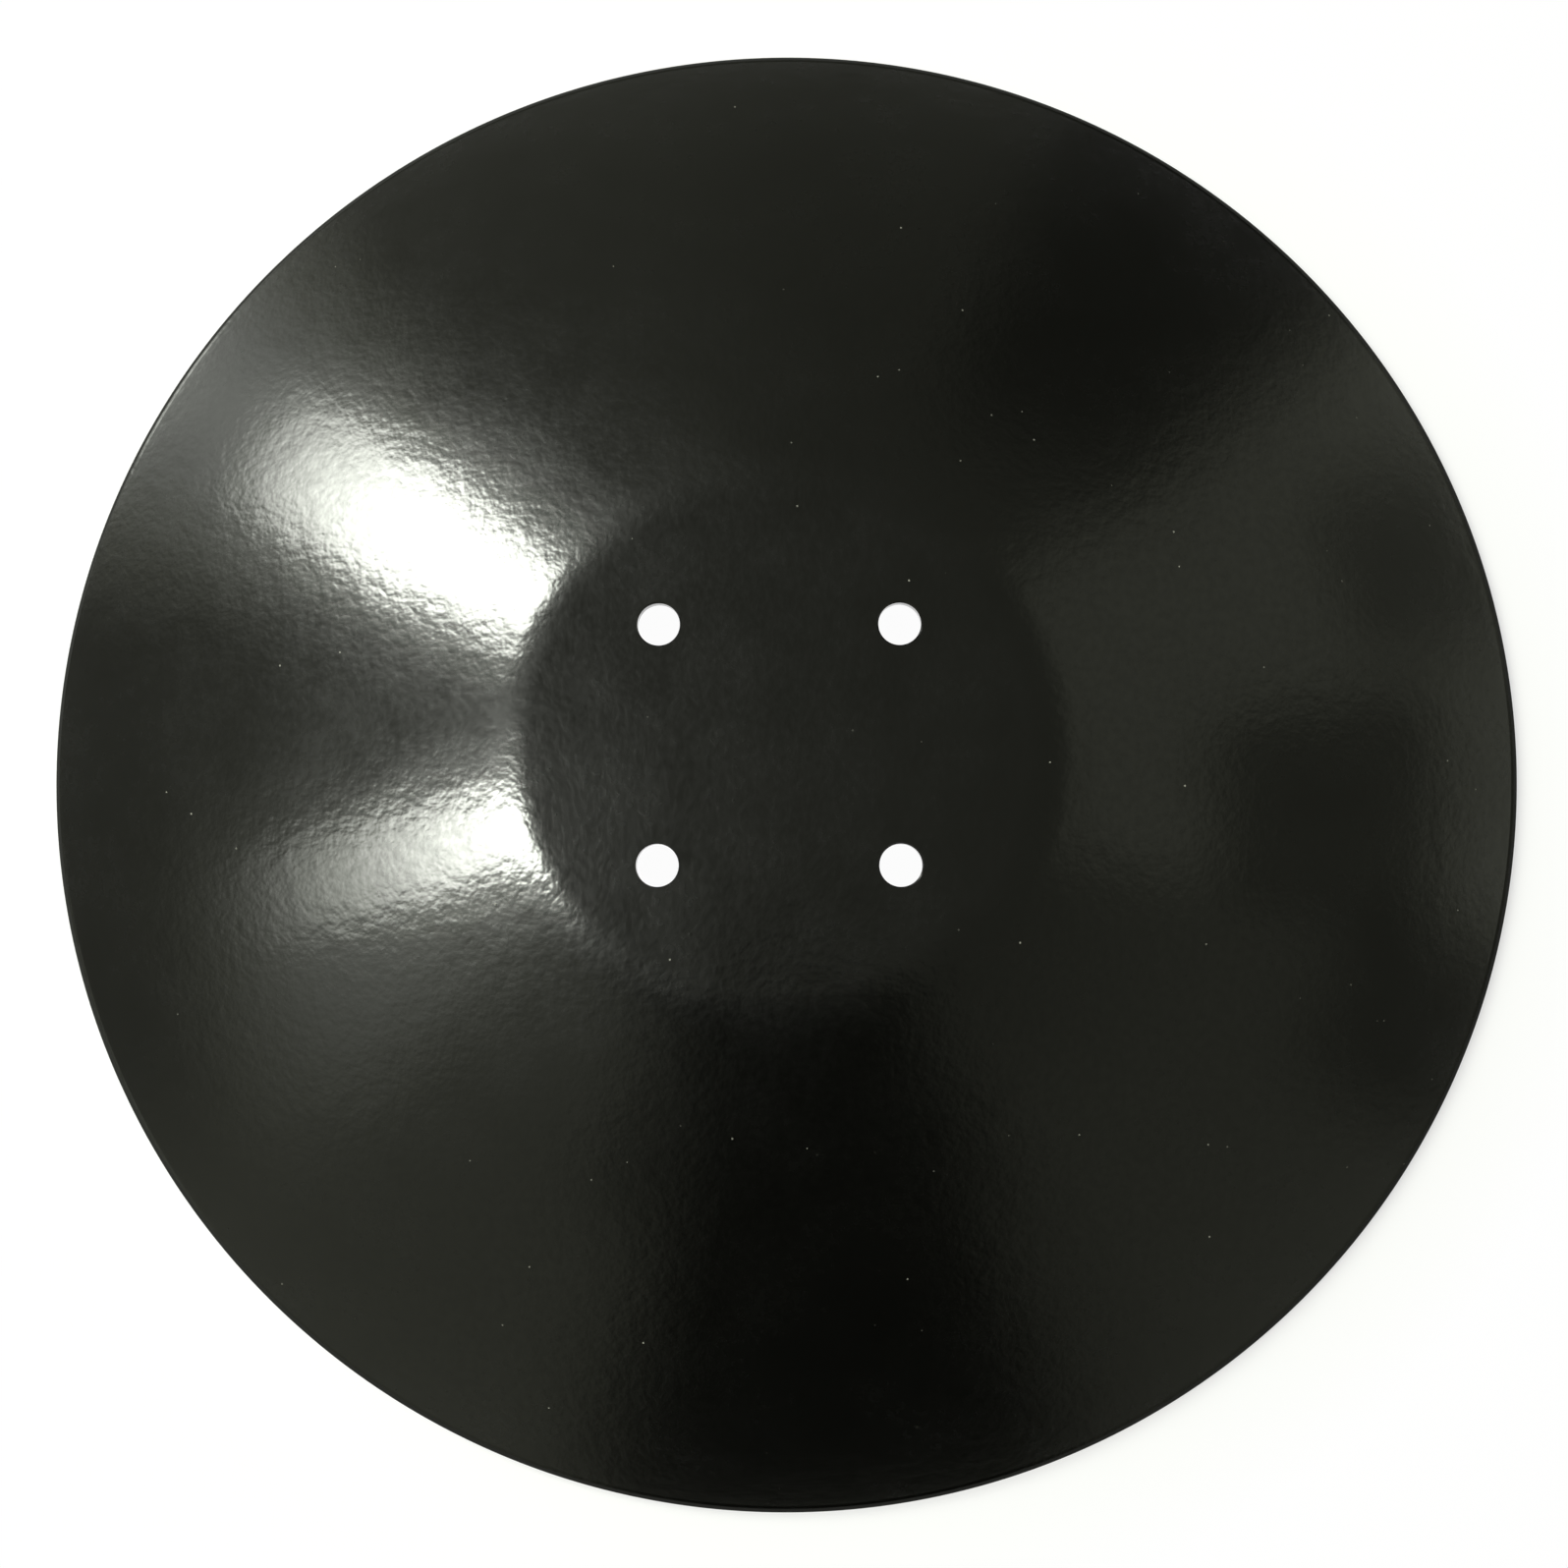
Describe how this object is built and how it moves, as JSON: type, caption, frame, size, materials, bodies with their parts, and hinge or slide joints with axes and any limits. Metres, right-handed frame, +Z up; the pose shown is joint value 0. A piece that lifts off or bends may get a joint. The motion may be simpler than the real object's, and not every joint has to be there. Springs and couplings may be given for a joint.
{
  "type": "harrow disc blade",
  "caption": "Dished round steel plate with a flat centre, bolt holes and a narrow edge bevel, for cutting and turning soil on a disc harrow.",
  "frame": {"origin": "centre of the circle that the blade's edge stands on, with the blade lying hollow side down", "axes": "+Z up the axis of the dish, out of the domed face; +X and +Y along the sides of the square that the bolt holes stand on"},
  "size_m": [0.56, 0.56, 0.0668],
  "materials": {
    "blade_paint": "semi-gloss black paint with a fine orange-peel ripple"
  },
  "bodies": {
    "root": {"disc_blade": "blade_paint"}
  },
  "joints": []
}
